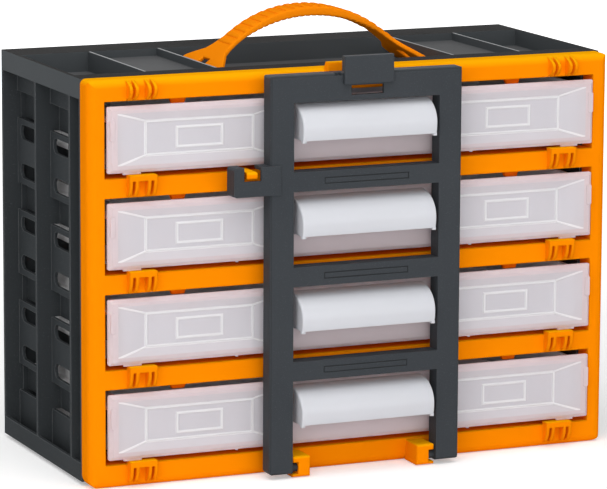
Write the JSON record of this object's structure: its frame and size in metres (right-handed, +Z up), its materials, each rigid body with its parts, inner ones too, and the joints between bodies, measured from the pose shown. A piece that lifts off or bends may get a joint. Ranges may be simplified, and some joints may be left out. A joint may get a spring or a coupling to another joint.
{
  "type": "portable drawer cabinet",
  "caption": "Portable moulded cabinet with translucent pull-out drawers behind a hinged locking grille, an open compartment tray on top and an arched carrying strap.",
  "frame": {"origin": "centre of the footprint on the floor, at the middle of the overall box", "axes": "+X to the object's right seen from the front, +Y to the back, +Z up"},
  "size_m": [0.4, 0.207, 0.3214],
  "materials": {
    "orange_frame": "satin",
    "orange_strap": "satin",
    "grey_shell": "fine grain",
    "grey_grille": "fine grain",
    "dark_foot": "fine grain",
    "milky_drawer": "translucent, frosted",
    "white_pull": "satin"
  },
  "bodies": {
    "cabinet": {"front_frame": "orange_frame", "left_side_panel": "grey_shell", "right_side_panel": "grey_shell", "top_tray": "grey_shell", "back_panel": "grey_shell", "base_panel": "grey_shell", "rear_feet": "dark_foot", "handle_strap": "orange_strap"},
    "drawer_box_1": {"drawer_1": "milky_drawer", "drawer_pull_1": "white_pull"},
    "drawer_box_2": {"drawer_2": "milky_drawer", "drawer_pull_2": "white_pull"},
    "drawer_box_3": {"drawer_3": "milky_drawer", "drawer_pull_3": "white_pull", "drawer_divider_3": "milky_drawer"},
    "drawer_box_4": {"drawer_4": "milky_drawer", "drawer_pull_4": "white_pull", "drawer_divider_4": "milky_drawer"},
    "grille": {"locking_grille": "grey_grille"},
    "latch": {"latch_tab": "grey_grille"}
  },
  "joints": [
    {"name": "grille_swing", "type": "hinge", "parent": "cabinet", "child": "grille", "pos_m": [0, -0.09075, 0.007], "axis": [1, 0, 0], "range_deg": [0, 88]},
    {"name": "latch_flick", "type": "hinge", "parent": "grille", "child": "latch", "pos_m": [0, -0.0915, 0.2817], "axis": [1, 0, 0], "range_deg": [0, 7], "stiffness_Nm_per_rad": 0.2},
    {"name": "drawer_slide_1", "type": "slide", "parent": "cabinet", "child": "drawer_box_1", "axis": [0, -1, 0], "range_m": [0, 0.147]},
    {"name": "drawer_slide_2", "type": "slide", "parent": "cabinet", "child": "drawer_box_2", "axis": [0, -1, 0], "range_m": [0, 0.147]},
    {"name": "drawer_slide_3", "type": "slide", "parent": "cabinet", "child": "drawer_box_3", "axis": [0, -1, 0], "range_m": [0, 0.147]},
    {"name": "drawer_slide_4", "type": "slide", "parent": "cabinet", "child": "drawer_box_4", "axis": [0, -1, 0], "range_m": [0, 0.147]}
  ],
  "couplings": [
    {"joint": "drawer_slide_1", "follows": "grille_swing", "m_per_rad": 0.09},
    {"joint": "drawer_slide_2", "follows": "grille_swing", "m_per_rad": 0.09},
    {"joint": "drawer_slide_3", "follows": "grille_swing", "m_per_rad": 0.08},
    {"joint": "drawer_slide_4", "follows": "grille_swing", "m_per_rad": 0.021}
  ]
}
